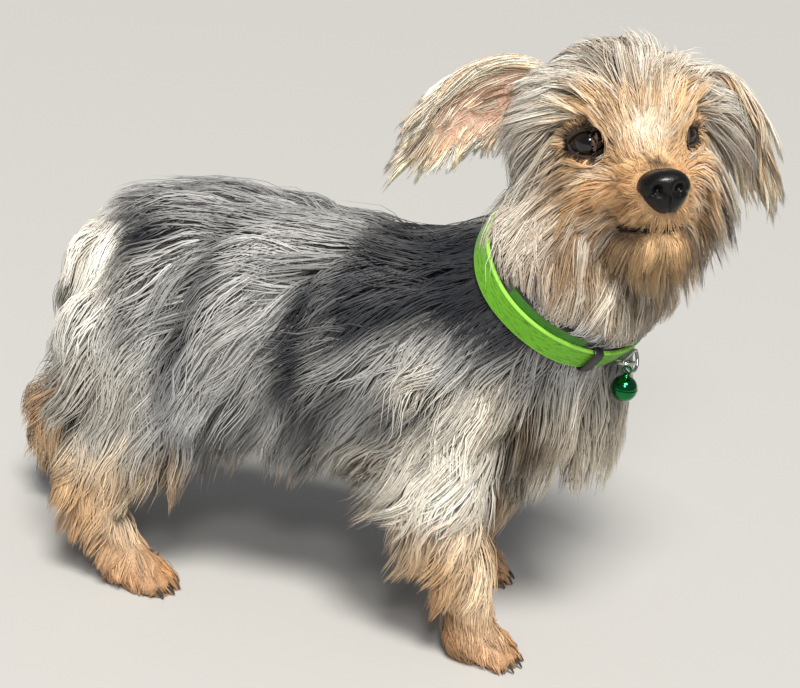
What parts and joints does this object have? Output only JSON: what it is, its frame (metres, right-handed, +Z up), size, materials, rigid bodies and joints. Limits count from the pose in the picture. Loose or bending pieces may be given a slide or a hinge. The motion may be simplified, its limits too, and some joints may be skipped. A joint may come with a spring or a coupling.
{
  "type": "standing yorkshire terrier",
  "caption": "Small long-coated terrier standing with its head turned to one side, a still life-size model with a webbing collar and a round bell.",
  "frame": {"origin": "middle of the bounding box at floor level, under the belly", "axes": "+X the way the body faces, +Y the animal's left side, +Z up"},
  "size_m": [0.297, 0.1082, 0.2429],
  "materials": {
    "eye": "wet dark brown eye with a clear cornea",
    "nose_leather": "moist black nose leather with a fine pebble grain",
    "webbing": "lime green woven nylon webbing",
    "keeper": "black moulded slide",
    "steel": "bright nickel-plated wire",
    "bell": "shiny green lacquer over metal",
    "face_coat": "golden tan hair, silver cream on the crown and cheeks",
    "ear_coat": "cream and tan hair over pinkish skin",
    "neck_coat": "silver cream hair with grey strands",
    "body_coat": "silky steel grey hair, blue black on the shoulders and silver on the flanks",
    "leg_coat": "tan hair, cream above and ginger on the paws"
  },
  "bodies": {
    "root": {"eye_right": "eye", "eye_left": "eye", "nose": "nose_leather", "collar_band": "webbing", "collar_lap": "webbing", "collar_slide": "keeper", "tag_ring": "steel", "bell": "bell", "split_ring": "steel", "head": "face_coat", "ear_right": "ear_coat", "ear_left": "ear_coat", "neck": "neck_coat", "torso": "body_coat", "tail": "body_coat", "foreleg_right": "leg_coat", "foreleg_left": "leg_coat", "hindleg_right": "leg_coat", "hindfoot_right": "leg_coat", "hindleg_left": "leg_coat", "hindfoot_left": "leg_coat"}
  },
  "joints": []
}
